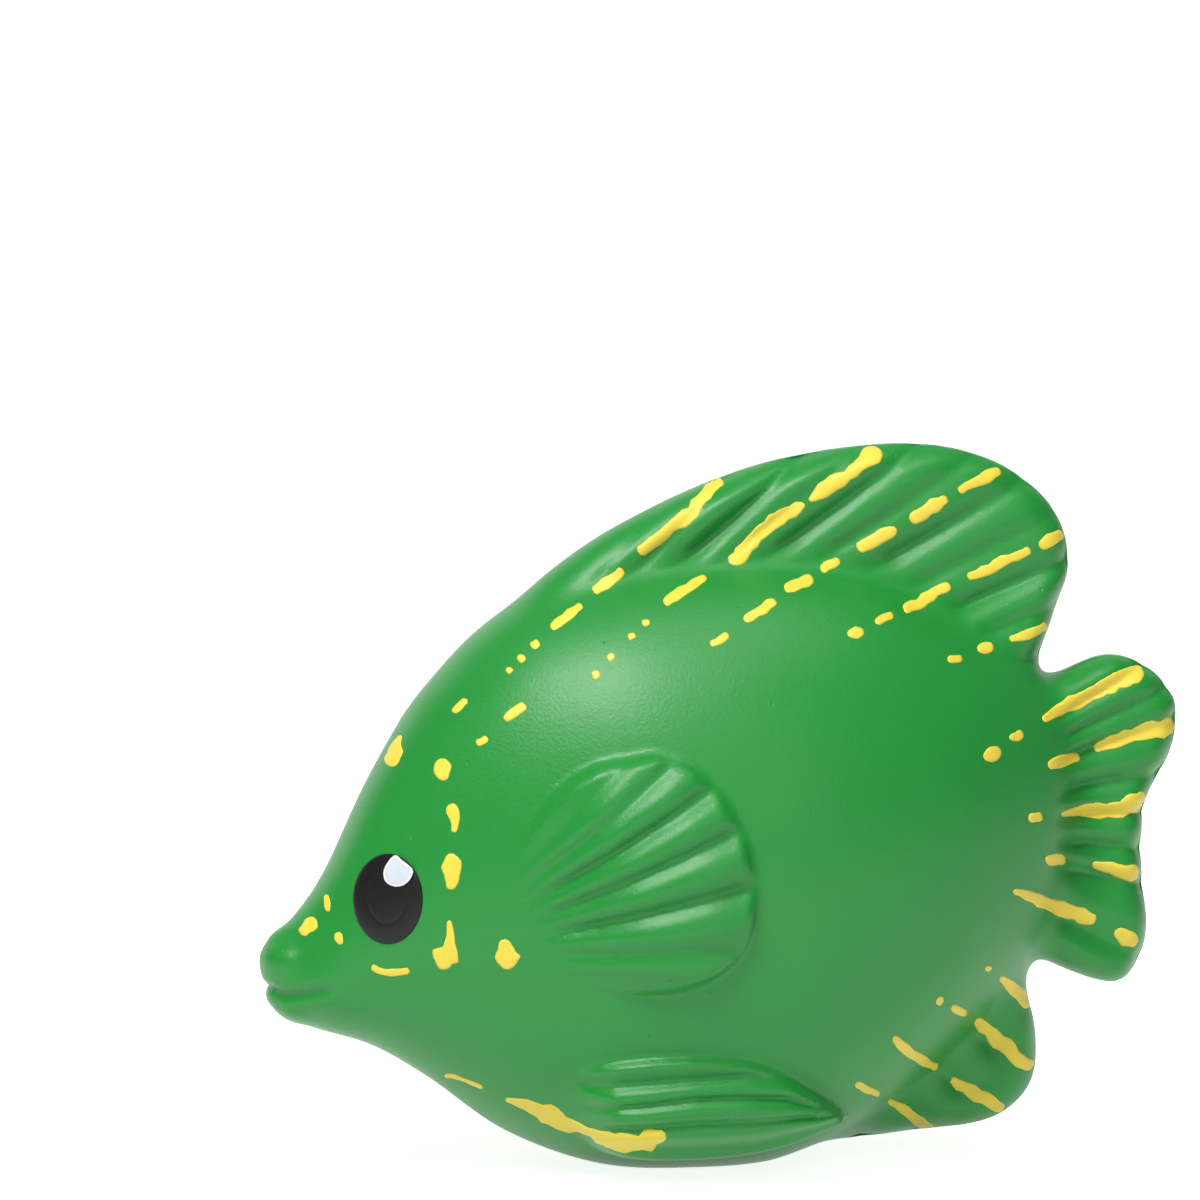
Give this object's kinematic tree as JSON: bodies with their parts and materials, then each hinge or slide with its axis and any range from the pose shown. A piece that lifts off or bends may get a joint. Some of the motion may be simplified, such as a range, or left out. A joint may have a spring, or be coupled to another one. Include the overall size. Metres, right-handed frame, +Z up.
{
  "type": "fish stress ball",
  "caption": "Squeezable soft foam fish with tall ridged back fin, tail, under fin, ridged side fins, black eyes and brushed yellow marks.",
  "frame": {"origin": "under the middle of the fish's overall box, on the surface it stands on", "axes": "+X from nose to tail, +Y towards the fish's own right side, +Z up along its back"},
  "size_m": [0.1, 0.0526, 0.0776],
  "materials": {
    "green_foam": "soft matte skin of polyurethane foam",
    "eye_paint": "satin paint film",
    "glint_paint": "satin paint film",
    "mark_paint": "satin paint film"
  },
  "bodies": {
    "root": {"foam_body": "green_foam", "dorsal_fin": "green_foam", "tail_fin": "green_foam", "anal_fin": "green_foam", "pectoral_fin_left": "green_foam", "pectoral_fin_right": "green_foam", "pelvic_fin_left": "green_foam", "pelvic_fin_right": "green_foam", "eye_left": "eye_paint", "eye_right": "eye_paint", "eye_glint_left": "glint_paint", "eye_glint_right": "glint_paint", "dorsal_marks_left": "mark_paint", "dorsal_marks_right": "mark_paint", "tail_marks_left": "mark_paint", "tail_marks_right": "mark_paint", "anal_marks_left": "mark_paint", "anal_marks_right": "mark_paint", "head_marks_left": "mark_paint", "head_marks_right": "mark_paint", "belly_marks_left": "mark_paint", "belly_marks_right": "mark_paint"}
  },
  "joints": []
}
